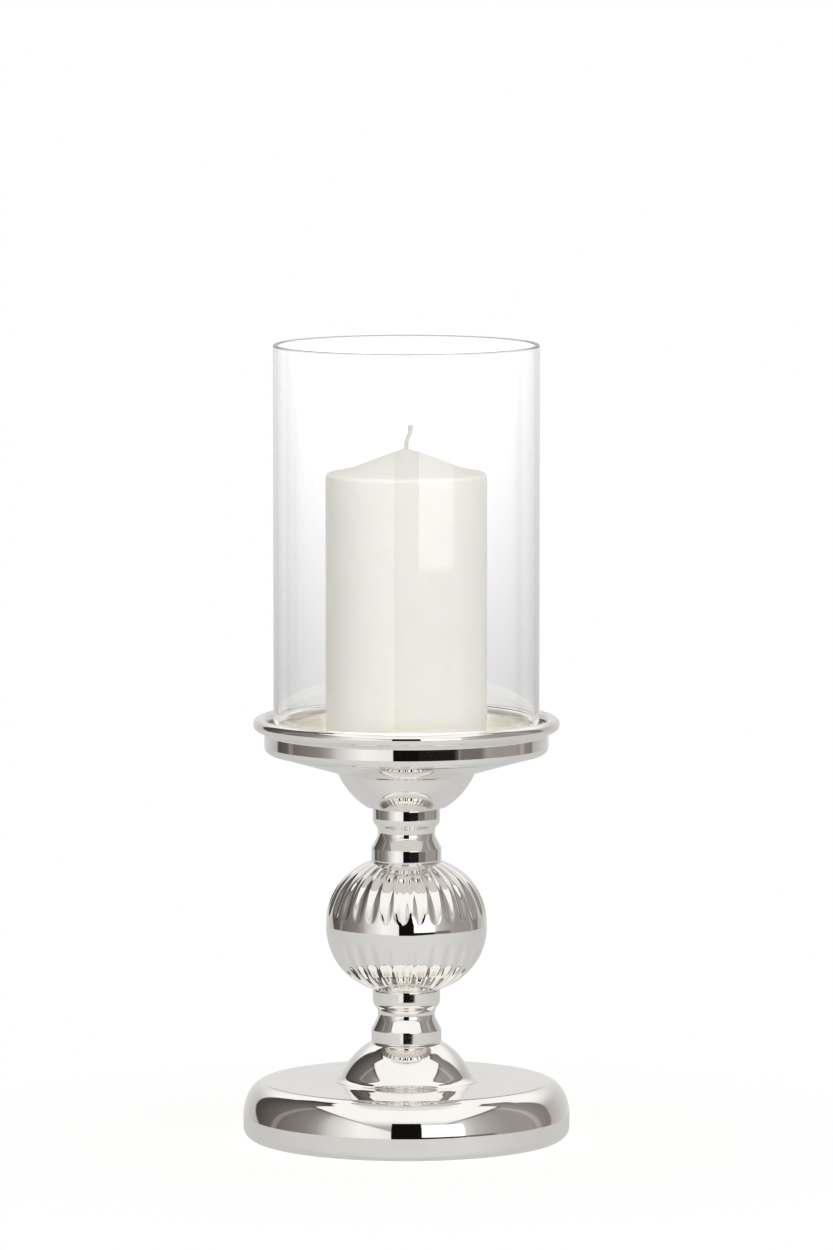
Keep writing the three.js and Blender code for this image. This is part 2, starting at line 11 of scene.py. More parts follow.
import bpy
import numpy as np
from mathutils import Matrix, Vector


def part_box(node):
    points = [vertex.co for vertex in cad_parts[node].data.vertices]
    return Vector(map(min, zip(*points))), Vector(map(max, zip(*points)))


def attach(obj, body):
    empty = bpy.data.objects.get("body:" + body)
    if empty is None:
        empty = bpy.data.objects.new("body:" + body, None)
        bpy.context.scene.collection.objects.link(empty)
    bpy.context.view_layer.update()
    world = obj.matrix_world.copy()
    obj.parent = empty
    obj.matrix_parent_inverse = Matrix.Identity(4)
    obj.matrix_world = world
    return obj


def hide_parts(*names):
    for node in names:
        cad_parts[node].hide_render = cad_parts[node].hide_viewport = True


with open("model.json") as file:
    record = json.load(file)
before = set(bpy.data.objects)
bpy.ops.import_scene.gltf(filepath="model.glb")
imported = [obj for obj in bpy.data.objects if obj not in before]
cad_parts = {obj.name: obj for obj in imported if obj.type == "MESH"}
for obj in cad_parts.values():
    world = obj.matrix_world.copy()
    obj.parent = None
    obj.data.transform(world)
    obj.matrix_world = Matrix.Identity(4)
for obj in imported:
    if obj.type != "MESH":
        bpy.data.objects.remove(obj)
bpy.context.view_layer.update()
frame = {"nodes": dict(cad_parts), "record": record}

# %% [markdown]
# ## One way to make every turned piece
# Nearly every piece of a lantern comes off a lathe, so it is a section, a line of radius and height, that is
# carried round the upright axis. A Screw or Spin modifier could do that, but a grid of numbers is easier to
# follow: its rows run along the section, its columns run round the axis, and whole arrays do the sums.
# Sections are in millimetres and run anticlockwise, which is what makes the faces point outwards.

# %% Lines and curves of a section
MM = 0.001
SUPPORT = 0.25          # millimetres from the end of a straight run to its supporting point
SUPPORT_PART = 0.3      # the largest part of a short run that this may be
SAME = 1e-5             # millimetres within which two points are one


def arc(centre, half, start, stop, steps):
    """Points of an ellipse: centre plus half-width times the cosine, and half-height times the sine, of an
    angle in degrees. One number gives a circle."""
    angle = np.radians(np.linspace(start, stop, steps + 1))
    return np.array(centre) + np.array(half) * np.stack([np.cos(angle), np.sin(angle)], axis=1)


def ease(start, corner, stop, steps):
    """Points of a parabola that leaves start towards corner and reaches stop from it: (1 - t) squared times
    start, plus 2 t (1 - t) times corner, plus t squared times stop."""
    t = np.linspace(0, 1, steps + 1)[:, None]
    return (1 - t) ** 2 * np.array(start) + 2 * t * (1 - t) * np.array(corner) + t ** 2 * np.array(stop)


def joined(*runs):
    """One line of points: corners and curves in turn, with a straight run across each gap between them. A
    straight run has a point close to each end, so that the shading of a bend stays near the bend."""
    points = [np.array([runs[0]], float).reshape(-1, 2)]
    for run in runs[1:]:
        run = np.array([run], float).reshape(-1, 2)
        last = points[-1][-1]
        length = np.linalg.norm(run[0] - last)
        if length > SAME:
            near = min(SUPPORT / length, SUPPORT_PART)
            points += [last + np.array([near, 0.5, 1 - near])[:, None] * (run[0] - last), run]
        else:
            points.append(run[1:])
    return np.concatenate(points)


def set_over(points, thickness):
    """The line moved to its left by a sheet's thickness, with each corner mitred."""
    along = np.diff(points, axis=0)
    along /= np.linalg.norm(along, axis=1, keepdims=True)
    left = np.stack([-along[:, 1], along[:, 0]], axis=1)
    before = np.concatenate([left[:1], left])
    after = np.concatenate([left, left[-1:]])
    mitre = before + after
    mitre /= np.linalg.norm(mitre, axis=1, keepdims=True)
    return points + mitre * (thickness / np.sum(mitre * before, axis=1, keepdims=True))


print("section helpers ready")

# %% From a grid of points to a mesh
CREASE = 34             # degrees; an edge that bends more than this stays sharp


def skin(name, grid, ring):
    """A mesh over a grid of points in metres, closed round its columns. A ring is closed along its rows as
    well. Otherwise the middles of the first and last rows become poles, each closed by a fan of triangles."""
    rows, columns = grid.shape[:2]
    row = np.arange(rows if ring else rows - 1)[:, None] * columns
    above = (row + columns) % (rows * columns)
    column = np.arange(columns)[None, :]
    beside = (column + 1) % columns
    corners = [row + column, row + beside, above + beside, above + column]
    faces = np.stack(np.broadcast_arrays(*corners), axis=-1).reshape(-1, 4).tolist()
    points = grid.reshape(-1, 3)
    if not ring:
        last = (rows - 1) * columns
        poles = np.stack([grid[0].mean(axis=0), grid[-1].mean(axis=0)])
        low, high = len(points), len(points) + 1
        points = np.concatenate([points, poles])
        around, onward = column[0], beside[0]
        faces += np.stack([onward, around, np.full(columns, low)], axis=1).tolist()
        faces += np.stack([last + around, last + onward, np.full(columns, high)], axis=1).tolist()
    mesh = bpy.data.meshes.new(name)
    mesh.from_pydata(points.tolist(), [], faces)
    mesh.shade_smooth()
    mesh.set_sharp_from_angle(angle=radians(CREASE))
    piece = bpy.data.objects.new(name, mesh)
    bpy.context.scene.collection.objects.link(piece)
    print(name, "has", len(mesh.vertices), "points and", len(mesh.polygons), "faces")
    return piece


def carried_round(section, columns):
    """Each point (r, z) of a section becomes a circle: x = r cos a, y = r sin a, at the height z."""
    angle = 2 * np.pi * np.arange(columns) / columns
    radius, height = section[:, :1], section[:, 1:]
    level = np.broadcast_to(height, (len(section), columns))
    return np.stack([radius * np.cos(angle), radius * np.sin(angle), level], axis=-1) * MM


def stand_for(piece, node, body):
    """Hides the solid that a piece stands for, and hangs the piece on the body it moves with."""
    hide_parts(node)
    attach(piece, body)


def turned(name, section, columns, node, body):
    """A turned piece on the lower face of its solid. A section that starts and ends on the axis gets two
    poles, and any other one is a ring."""
    lifted = section + np.array([0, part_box(node)[0].z / MM])
    on_axis = section[0, 0] < SAME
    grid = carried_round(lifted[1:-1] if on_axis else lifted, columns)
    piece = skin(name, grid, ring=not on_axis)
    stand_for(piece, node, body)
    return piece


print("edges that bend by more than", CREASE, "degrees stay sharp")

# %% [markdown]
# ## The spun base
# A disc of sheet brass is pressed over a spinning former, so one sheet makes the lip under the foot, the
# round rim, the flat top and the dome that carries the stem. The outside is drawn first. The inside is the
# same line moved over by the sheet's thickness, so the piece has a real wall and not only a skin.

# %% Base shell
SHEET = 1.4
ROD_BORE = 4.4
WIDE = 192              # columns round the wide pieces
NARROW = 128            # columns round the stem

BASE_RADIUS = 81.2
BASE_TOP = 28.9
TOP_RISE = 0.4
SHOULDER = (11.4, 17.0)
FOOT_ROUND = 6.4
FOOT_OPENING = 71.5
FOOT_LIP = 6.0
SEAT_HEIGHT = 48.0
DOME_RADIUS = 35.4
DOME_SEAT = 18.4
DOME_FILLET = 5.5


def base_section():
    """Lip, foot, quarter ellipse of the rim, quarter ellipse of the shoulder, flat top, a fillet that
    touches the top and the dome's circle, the dome, and its flat seat."""
    rim = BASE_RADIUS - FOOT_ROUND
    shoulder = (BASE_RADIUS - SHOULDER[0], BASE_TOP - SHOULDER[1])
    dome_centre = SEAT_HEIGHT - np.sqrt(DOME_RADIUS ** 2 - DOME_SEAT ** 2)
    fillet_z = BASE_TOP + TOP_RISE + DOME_FILLET
    fillet_r = np.sqrt((DOME_RADIUS + DOME_FILLET) ** 2 - (fillet_z - dome_centre) ** 2)
    meets = np.degrees(np.arctan2(fillet_z - dome_centre, fillet_r))
    ends = np.degrees(np.arccos(DOME_SEAT / DOME_RADIUS))
    outside = joined(
        (FOOT_OPENING, FOOT_LIP),
        (FOOT_OPENING, 0),
        arc((rim, FOOT_ROUND), FOOT_ROUND, -90, 0, 14),
        arc(shoulder, SHOULDER, 0, 90, 32),
        arc((fillet_r, fillet_z), DOME_FILLET, 270, 180 + meets, 12),
        arc((0, dome_centre), DOME_RADIUS, meets, ends, 24),
        (ROD_BORE, SEAT_HEIGHT),
    )
    return np.concatenate([outside, set_over(outside, SHEET)[::-1]])


base = turned("silver_base", base_section(), WIDE, "base_shell", "stand")

# %% [markdown]
# ## The two stem spools
# Each spool is turned from solid bar: a tall band at the foot, a straight flare, a hollow waist and a cap
# band. Curves that leave one point towards a corner and arrive at the next from it give the soft run of a
# lathe tool.

# %% Spools
SPOOL_HEIGHT = 27.6
SPOOL_FOOT = 17.4
SPOOL_FOOT_BAND = 6.9
SPOOL_WAIST = 14.1
SPOOL_CAP = 16.7
SPOOL_CAP_BAND = 5.7
SPOOL_COVE = 7.2
FLARE_STEP = 0.9
FLARE_EASE = 3.2
SPOOL_EDGE = 1.1


def spool_section():
    """Rounded foot edge, foot band, straight flare, three parabolas through the waist, cap band and rounded
    edge."""
    cap_foot = SPOOL_HEIGHT - SPOOL_CAP_BAND
    waist_z = cap_foot - SPOOL_COVE
    flare_top = (SPOOL_WAIST + FLARE_STEP, waist_z - FLARE_EASE)
    waist = (SPOOL_WAIST, waist_z)
    swing = (SPOOL_CAP - SPOOL_WAIST) / 2
    middle = (SPOOL_WAIST + swing, waist_z + SPOOL_COVE / 2)
    return joined(
        (ROD_BORE, SPOOL_HEIGHT),
        (ROD_BORE, 0),
        arc((SPOOL_FOOT - SPOOL_EDGE, SPOOL_EDGE), SPOOL_EDGE, -90, 0, 8),
        (SPOOL_FOOT, SPOOL_FOOT_BAND),
        ease(flare_top, (SPOOL_WAIST, flare_top[1] + FLARE_EASE / 2), waist, 10),
        ease(waist, (SPOOL_WAIST, middle[1] - swing), middle, 10),
        ease(middle, (SPOOL_CAP, middle[1] + swing), (SPOOL_CAP, cap_foot), 10),
        arc((SPOOL_CAP - SPOOL_EDGE, SPOOL_HEIGHT - SPOOL_EDGE), SPOOL_EDGE, 0, 90, 8),
        (ROD_BORE, SPOOL_HEIGHT),
    )[:-1]


spools = [
    turned("silver_" + node, spool_section(), NARROW, node, "stand")
    for node in ("lower_spool", "upper_spool")
]

# %% [markdown]
# ## The fluted ball
# This is the showpiece. A hollow ball is spun a little squarer than a sphere, and flutes are pressed into
# it above and below a plain band. Shapes cut out by Booleans would leave ragged ends, so the flutes are
# worked into the surface itself: every point of the grid knows its height and how far across a flute it is.

# %% Shape of a flute
BALL_RADIUS = 40.0
BALL_HEIGHT = 63.2
POLE_CUT = 3.0
FULLNESS = 2.17
BALL_WALL = 2.4
FLUTES = 30
FLUTE_FILL = 0.74
FLUTE_NOSE = 0.54       # round nose of the pressing tool, as a part of the pitch
FLUTE_END = 9.0
FLUTE_TURN = -92.4
PLAIN_BAND = 9.0
ROLLED = 0.22           # rounding of the ridge beside a flute, in millimetres of depth
ROLL_GROWTH = 4.0       # the rounding is full at one over this of the tip's length


def ball_outline(height, radius, crown):
    """Radius of a superellipse: radius times (1 - (height / crown) to the power n) to the power 1 / n."""
    reach = np.abs(height / crown) ** FULLNESS
    return radius * (1 - reach) ** (1 / FULLNESS)


def flute_depth(height, across, pitch):
    """Depth of a groove of half-width w left by a round tool of radius R: (w w - s s) / 2 R at s from its
    middle, with R a part of the pitch. The half-width closes in a half ellipse towards the plain band, and
    the edges are rolled over, by less where the pitch is finer."""
    past_tip = np.clip((np.abs(height) - PLAIN_BAND / 2) / FLUTE_END, 0, 1)
    half_width = pitch * FLUTE_FILL / 2 * np.sqrt(1 - (1 - past_tip) ** 2)
    depth = (half_width ** 2 - (across * pitch) ** 2) / (2 * FLUTE_NOSE * pitch)
    rolled = ROLLED * np.sqrt(np.clip(past_tip * ROLL_GROWTH, 0, 1)) * pitch / pitch.max()
    return (depth + np.sqrt(depth ** 2 + rolled ** 2)) / 2


print(FLUTES, "flutes,", round(2 * np.pi * BALL_RADIUS / FLUTES, 2), "mm apart at the band")

# %% Ball
FLUTE_COLUMNS = 12      # grid columns in each flute
BAND_RINGS = 9
TIP_RINGS = 16
TIP_CROWDING = 1.6      # power that draws the rings together towards the tip
FLUTE_RINGS = 26
INNER_RINGS = 25


def ball_heights():
    """Heights of the rings: close together at the flutes' tips, then even along the curve."""
    seat = BALL_HEIGHT / 2
    crown = seat + POLE_CUT
    tip = PLAIN_BAND / 2
    tongue = tip + FLUTE_END * np.linspace(0, 1, TIP_RINGS) ** TIP_CROWDING
    start, stop = np.arcsin(tongue[-1] / crown), np.arcsin(seat / crown)
    flute = crown * np.sin(np.linspace(start, stop, FLUTE_RINGS))
    half = np.concatenate([np.linspace(0, tip, BAND_RINGS)[1:], tongue[1:], flute[1:]])
    half[-1] = seat
    return np.concatenate([-half[::-1], [0], half])


def ball_grid(foot):
    """Rows up the fluted outside, in to the bore and back down the plain inside, as one closed ring."""
    columns = FLUTES * FLUTE_COLUMNS
    turns = np.arange(columns) / FLUTE_COLUMNS
    angle = np.radians(FLUTE_TURN) + 2 * np.pi * turns / FLUTES
    across = turns - np.round(turns)
    middle = BALL_HEIGHT / 2
    height = ball_heights()[:, None]
    radius = ball_outline(height, BALL_RADIUS, middle + POLE_CUT)
    fluted = radius - flute_depth(height, across, 2 * np.pi * radius / FLUTES)
    inner_z = (middle - BALL_WALL) * np.sin(np.linspace(np.pi / 2, -np.pi / 2, INNER_RINGS))
    inner_r = ball_outline(inner_z, BALL_RADIUS - BALL_WALL, middle + POLE_CUT - BALL_WALL)
    bore = np.array([[ROD_BORE, middle], [ROD_BORE, middle - BALL_WALL]])
    inside = np.concatenate([bore, np.stack([inner_r, inner_z], axis=1), bore[::-1] * [1, -1]])
    rows = np.concatenate([fluted, np.broadcast_to(inside[:, :1], (len(inside), columns))])
    levels = np.concatenate([height, inside[:, 1:]]) + middle + foot
    levels = np.broadcast_to(levels, rows.shape)
    return np.stack([rows * np.cos(angle), rows * np.sin(angle), levels], axis=-1) * MM


ball = skin("silver_fluted_ball", ball_grid(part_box("fluted_ball")[0].z / MM), ring=True)
stand_for(ball, "fluted_ball", "stand")

# %% [markdown]
# ## The bowl and the drip tray
# The bowl is spun, and opens through a small fillet into the shallow cone that carries the tray. The tray is
# a flat-floored dish whose wall ends in a rolled bead. Both are sections again: the fillet has to touch a
# circle and a sloping line, so its centre comes from a quadratic equation.

# %% Bowl
BOWL_RADIUS = 37.0
BOWL_SEAT = 20.0
BOWL_FILLET = 2.5
CONE_SLOPE = 0.288
RIM_EDGE = 0.3
TRAY_RISE = 26.4
TRAY_RADIUS = 70.6
TRAY_CORNER = 4.0
CONE_RADIUS = TRAY_RADIUS - TRAY_CORNER


def bowl_section():
    """Flat seat, circle of the bowl, fillet of radius f, cone, and a level land under the tray. The fillet's
    centre lies f above the cone and f outside the circle, which gives a quadratic for the radius u of the
    point where it touches the cone."""
    centre = np.sqrt(BOWL_RADIUS ** 2 - BOWL_SEAT ** 2)
    slant = np.sqrt(1 + CONE_SLOPE ** 2)
    shift = BOWL_FILLET * CONE_SLOPE / slant
    drop = TRAY_RISE - CONE_SLOPE * CONE_RADIUS - BOWL_FILLET / slant - centre
    half = shift + CONE_SLOPE * drop
    rest = shift ** 2 + drop ** 2 - (BOWL_RADIUS + BOWL_FILLET) ** 2
    u = (np.sqrt(half ** 2 - slant ** 2 * rest) - half) / slant ** 2
    fillet = np.array([u + shift, centre + CONE_SLOPE * u + drop])
    starts = -np.degrees(np.arccos(BOWL_SEAT / BOWL_RADIUS))
    meets = np.degrees(np.arctan2(fillet[1] - centre, fillet[0]))
    leaves = 90 + np.degrees(np.arctan(CONE_SLOPE))
    rim = CONE_RADIUS - RIM_EDGE / CONE_SLOPE
    land = CONE_RADIUS - SHEET * slant / CONE_SLOPE
    outside = joined(
        (ROD_BORE, 0),
        arc((0, centre), BOWL_RADIUS, starts, meets, 26),
        arc(fillet, BOWL_FILLET, 180 + meets, leaves, 12),
        (rim, TRAY_RISE - RIM_EDGE),
    )
    inside = set_over(outside, SHEET)[:-1]
    return np.concatenate([outside, joined((rim, TRAY_RISE), (land, TRAY_RISE)), inside[::-1]])


bowl = turned("silver_bowl", bowl_section(), WIDE, "tray_bowl", "stand")

# %% Drip tray
TRAY_DEPTH = 16.6
LIP_OVERHANG = 5.5
BEAD_RADIUS = 3.2
BEAD_START = -75
BEAD_END = 140
LIP_FLARE = 5.0
LIP_INNER_FLARE = 2.0


def tray_section():
    """Floor, round corner, wall, a parabola out to the bead, the bead, a parabola back in, and the floor."""
    inside = TRAY_RADIUS - SHEET
    bead = np.array([TRAY_RADIUS + LIP_OVERHANG - BEAD_RADIUS, SHEET + TRAY_DEPTH - BEAD_RADIUS])
    roll = arc(bead, BEAD_RADIUS, BEAD_START, BEAD_END, 40)
    slope = -1 / np.tan(np.radians([BEAD_START, BEAD_END]))
    outer_corner = (TRAY_RADIUS, roll[0, 1] - slope[0] * (roll[0, 0] - TRAY_RADIUS))
    inner_corner = (inside, roll[-1, 1] - slope[1] * (roll[-1, 0] - inside))
    return joined(
        (0, 0),
        arc((CONE_RADIUS, TRAY_CORNER), TRAY_CORNER, -90, 0, 12),
        ease((TRAY_RADIUS, bead[1] - LIP_FLARE), outer_corner, roll[0], 12),
        roll,
        ease(roll[-1], inner_corner, (inside, bead[1] - LIP_INNER_FLARE), 8),
        arc((CONE_RADIUS, TRAY_CORNER), TRAY_CORNER - SHEET, 0, -90, 8),
        (0, SHEET),
    )


tray = turned("silver_drip_tray", tray_section(), WIDE, "drip_tray", "stand")

# %% [markdown]
# ## The glass chimney
# A length of drawn glass tube, ground at both ends, stands on the tray floor. It is closed, with an inner
# and an outer wall, because light bends on both of them, and the dark line inside each edge comes from the
# inner one.

# %% Chimney
GLASS_OUTSIDE = 66.0
GLASS_WALL = 2.3
GLASS_HEIGHT = 202.0
GLASS_EDGE = 0.8


def chimney_section():
    """A tall thin rectangle with four rounded corners."""
    inner, outer = GLASS_OUTSIDE - GLASS_WALL + GLASS_EDGE, GLASS_OUTSIDE - GLASS_EDGE
    low, high = GLASS_EDGE, GLASS_HEIGHT - GLASS_EDGE
    corners = [((outer, low), -90), ((outer, high), 0), ((inner, high), 90), ((inner, low), 180)]
    bends = [arc(centre, GLASS_EDGE, start, start + 90, 8) for centre, start in corners]
    return joined(bends[0], np.concatenate(bends[1:3]), bends[3])


chimney = turned("glass_tube", chimney_section(), WIDE, "glass_chimney", "chimney")

# %% [markdown]
# ## The candle and its wick
# The candle is cast in a metal mould: a round shoulder, a gently sloping ring, a shallow cone and a nub
# where the wick comes out. The wick is a cotton braid, and it rises straight, leans to one side and stands
# up again.

# %% Candle
CANDLE_RADIUS = 40.0
CANDLE_HEIGHT = 150.0
CANDLE_EDGE = 2.2
CANDLE_FOOT_EDGE = 1.0
CROWN_TURN = 75
CROWN_RING = 10.0
CROWN_RING_RISE = 1.2
CROWN_SLOPE = 0.385
RING_BEND = 2.0         # half the width of the bend between the ring and the cone
RING_SAG = 0.1          # how far the ring sags below that bend
NUB_FOOT = 7.0
NUB_RADIUS = 3.0
NUB_RISE = 1.35
WICK_BORE = 1.5


def candle_section():
    """Foot, side, round shoulder, sloping ring, cone, and a parabola up to the nub round the wick's hole."""
    cone_foot = CANDLE_RADIUS - CROWN_RING
    cone_top = CANDLE_HEIGHT - NUB_RISE
    ring_top = cone_top - CROWN_SLOPE * (cone_foot - NUB_FOOT)
    shoulder = (CANDLE_RADIUS - CANDLE_EDGE, ring_top - CROWN_RING_RISE - CANDLE_EDGE)
    bend = arc(shoulder, CANDLE_EDGE, 0, CROWN_TURN, 12)
    cone_start = (cone_foot - RING_BEND, ring_top + RING_BEND * CROWN_SLOPE)
    return joined(
        (WICK_BORE, 0),
        arc((CANDLE_RADIUS - CANDLE_FOOT_EDGE, CANDLE_FOOT_EDGE), CANDLE_FOOT_EDGE, -90, 0, 6),
        bend,
        ease(bend[-1], (cone_foot + RING_BEND, ring_top - RING_SAG), cone_start, 10),
        ease((NUB_FOOT, cone_top), (NUB_RADIUS, cone_top + NUB_RISE / 2), (NUB_RADIUS, CANDLE_HEIGHT), 8),
        (WICK_BORE, CANDLE_HEIGHT),
        (WICK_BORE, 0),
    )[:-1]


candle = turned("wax_pillar", candle_section(), WIDE, "pillar_candle", "candle")

# %% Wick
WICK_RADIUS = 1.2
WICK_FREE = 12.0
WICK_SUNK = 6.0         # millimetres below the nub where the fine rings begin
WICK_RINGS = 90
WICK_COLUMNS = 40
WICK_LEAN = 2.0
LEAN_START = 0.22       # part of the free length where the lean begins
LEAN_SPAN = 0.6
FRAY_START = 0.8        # part of the free length where the end begins to fray
FRAY = 0.25
BRAID_PITCH = 5.0       # millimetres in which a strand of the braid goes once round
BRAID_STRANDS = 4
BRAID_RELIEF = 0.16     # part of the radius that the strands stand proud


def wick_grid(foot):
    """A tube along a path that leans by a smooth step, 3 t t - 2 t t t. Its radius is the higher of two
    families of strands, |cos| of half the strand count times the angle plus or minus the turns wound, as one
    family crosses over the other."""
    fine = np.linspace(CANDLE_HEIGHT - WICK_SUNK, CANDLE_HEIGHT + WICK_FREE, WICK_RINGS)
    rise = np.concatenate([[0], fine])
    past = np.clip((rise - CANDLE_HEIGHT) / WICK_FREE, 0, 1)
    step = np.clip((past - LEAN_START) / LEAN_SPAN, 0, 1)
    lean = WICK_LEAN * step ** 2 * (3 - 2 * step)
    angle = 2 * np.pi * np.arange(WICK_COLUMNS) / WICK_COLUMNS
    wound = 2 * np.pi * rise[:, None] / BRAID_PITCH
    left = np.abs(np.cos(BRAID_STRANDS / 2 * (angle + wound)))
    right = np.abs(np.cos(BRAID_STRANDS / 2 * (angle - wound)))
    radius = WICK_RADIUS * (1 - BRAID_RELIEF + BRAID_RELIEF * np.maximum(left, right))
    fray = 1 + FRAY * np.clip((past - FRAY_START) / (1 - FRAY_START), 0, 1)[:, None]
    x = lean[:, None] + radius * fray * np.cos(angle)
    y = radius * np.sin(angle)
    z = np.broadcast_to(rise[:, None], x.shape) + foot
    return np.stack([x, y, z], axis=-1) * MM


wick = skin("cotton_wick", wick_grid(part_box("wick")[0].z / MM), ring=False)
stand_for(wick, "wick", "candle")

# %% [markdown]
# ## The felt foot
# A disc of felt closes the base from below and keeps the plate off the table. Only its edge ever shows.

# %% Felt
FELT_RADIUS = 71.2
FELT_THICKNESS = 2.4
FELT_EDGE = 0.5


def felt_section():
    """A flat disc with a rounded edge."""
    rim = FELT_RADIUS - FELT_EDGE
    low = arc((rim, FELT_EDGE), FELT_EDGE, -90, 0, 5)
    high = arc((rim, FELT_THICKNESS - FELT_EDGE), FELT_EDGE, 0, 90, 5)
    return joined((0, 0), np.concatenate([low, high]), (0, FELT_THICKNESS))


felt = turned("felt_disc", felt_section(), WIDE, "felt_pad", "stand")

# %% [markdown]
# ## Finishes
# Every finish is a Principled shader with a pattern behind it. The patterns read Object coordinates, which
# are metres in the lantern's own frame, so the scale of a noise is one over the size of its grain in metres.
# One function turns the colours, written as on a colour chart, into the linear values that light adds up in.

# %% Colour and nodes
NOISE = {"From Min": 0.3, "From Max": 0.7}      # nearly all of a noise lies between these values


def linear(code):
    """Linear colour of an sRGB hex code: x / 12.92 up to 0.04045, else ((x + 0.055) / 1.055) to the power
    2.4."""
    value = np.array([int(code[i:i + 2], 16) for i in (1, 3, 5)]) / 255
    light = np.where(value <= 0.04045, value / 12.92, ((value + 0.055) / 1.055) ** 2.4)
    return (*light.tolist(), 1.0)


def grain(size):
    """Scale of a noise whose grains measure this many millimetres."""
    return 1 / (size * MM)


def add(tree, kind, inputs=None, **settings):
    """Adds a node. An input takes a plain value, or a link where it is given another node's output. A whole
    node stands for the first of its outputs that is in use."""
    node = tree.nodes.new(kind)
    for name, value in settings.items():
        setattr(node, name, value)
    for name, value in (inputs or {}).items():
        if isinstance(value, bpy.types.Node):
            value = next(output for output in value.outputs if output.enabled)
        if isinstance(value, bpy.types.NodeSocket):
            tree.links.new(value, node.inputs[name])
        else:
            node.inputs[name].default_value = value
    return node


def new_finish(name):
    """An empty material, its tree, and the place of each point of the surface."""
    material = bpy.data.materials.new(name)
    material.use_nodes = True
    tree = material.node_tree
    tree.nodes.clear()
    return material, tree, add(tree, "ShaderNodeTexCoord").outputs["Object"]


def mottled(tree, place, size, detail, limits, dark, pale):
    """A noise with grains of this many millimetres, and the colour it gives: the dark tone below the first
    limit, the pale one above the second, and a mix between them."""
    noise = add(tree, "ShaderNodeTexNoise", {"Vector": place, "Scale": grain(size), "Detail": detail})
    ramp = add(tree, "ShaderNodeValToRGB", {"Fac": noise})
    for stop, limit, tone in zip(ramp.color_ramp.elements, limits, (dark, pale)):
        stop.position = limit
        stop.color = linear(tone)
    return noise, ramp


print("middle grey, written #808080, is", round(linear("#808080")[0], 3), "of white")

# %% [markdown]
# ### Silver plate
# Polished silver reflects nearly all light, a little less of the blue, so white comes back slightly warm.
# What makes it look real is what it reflects, and how slightly it fails to be perfect: a faint waviness from
# spinning the sheet, and a haze of polishing marks that run round the axis.

# %% Silver
CLOUD = 30.0            # millimetres across the slow changes of colour
MARK = 0.5              # width of a polishing mark, drawn coarser than the real ones so that it shows
WAVE = 14.0             # length of the waves left by spinning
WAVE_RELIEF = 0.008


def silver_finish(name, dull, bright, haze_limits):
    """Silver: colour from a slow noise, roughness from fine rings round the axis, waviness from bump."""
    material, tree, place = new_finish(name)
    colour = mottled(tree, place, CLOUD, 3.0, (0.35, 0.7), dull, bright)[1]
    parts = add(tree, "ShaderNodeSeparateXYZ", {"Vector": place}).outputs
    flat = add(tree, "ShaderNodeCombineXYZ", {"X": parts["X"], "Y": parts["Y"]})
    radius = add(tree, "ShaderNodeVectorMath", {0: flat}, operation="LENGTH")
    around = add(tree, "ShaderNodeCombineXYZ", {"X": radius, "Y": parts["Z"]})
    rings = add(tree, "ShaderNodeTexNoise", {
        "Vector": around, "Scale": grain(MARK), "Detail": 4.0}, noise_dimensions="2D")
    haze = add(tree, "ShaderNodeMapRange", {
        "Value": rings, **NOISE, "To Min": haze_limits[0], "To Max": haze_limits[1]})
    wave = add(tree, "ShaderNodeTexNoise", {"Vector": place, "Scale": grain(WAVE), "Detail": 1.0})
    bump = add(tree, "ShaderNodeBump", {"Height": wave, "Strength": 1.0, "Distance": WAVE_RELIEF * MM})
    shader = add(tree, "ShaderNodeBsdfPrincipled", {
        "Base Color": colour, "Metallic": 1.0, "Roughness": haze,
        "Normal": bump})
    add(tree, "ShaderNodeOutputMaterial", {"Surface": shader})
    return material


polished = silver_finish("silver_plate_polished", "#F6F3EE", "#FBF9F5", (0.015, 0.04))
plated = [base, *spools, ball, bowl, tray]
for piece in plated:
    piece.data.materials.append(polished)
print("polished silver on", len(plated), "pieces")

# %% [markdown]
# ### The inside of the tray
# Wiping out spilt wax rubs the plate where the candle stands, so the inside of the tray is a little duller.
# It could be a piece of its own, but one mesh may hold two materials: the faces whose middles lie inside
# the tray get the second one.

# %% Rubbed silver inside the tray
SLACK = 0.1             # millimetres by which a face's middle may miss the surface it lies on


def face_middles(piece):
    """Radius and height of the middle of each face, in millimetres."""
    middles = np.empty(3 * len(piece.data.polygons))
    piece.data.polygons.foreach_get("center", middles)
    x, y, z = middles.reshape(-1, 3).T / MM
    return np.hypot(x, y), z


tray.data.materials.append(silver_finish("silver_plate_rubbed", "#EEEBE5", "#F4F2ED", (0.1, 0.2)))
radius, height = face_middles(tray)
tray_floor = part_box("drip_tray")[0].z / MM + SHEET
inside_tray = (radius < TRAY_RADIUS - SHEET + SLACK) & (height > tray_floor - SLACK)
tray.data.polygons.foreach_set("material_index", inside_tray.astype(np.int32))
print("rubbed silver on", int(inside_tray.sum()), "faces inside the tray")

# %% [markdown]
# ### Clear glass
# Soda-lime glass bends light with an index of about 1.5 and takes a trace out of it, so the long way through
# the edge of the tube looks grey. Tube is drawn through a ring, which leaves very faint upright lines. Its
# ground ends scatter light and show as a thin grey line.

# %% Glass
DRAW_LINE = 6.0         # millimetres between the lines left by drawing
DRAW_STRETCH = 0.03     # their width as a part of their length
DRAW_RELIEF = 0.003


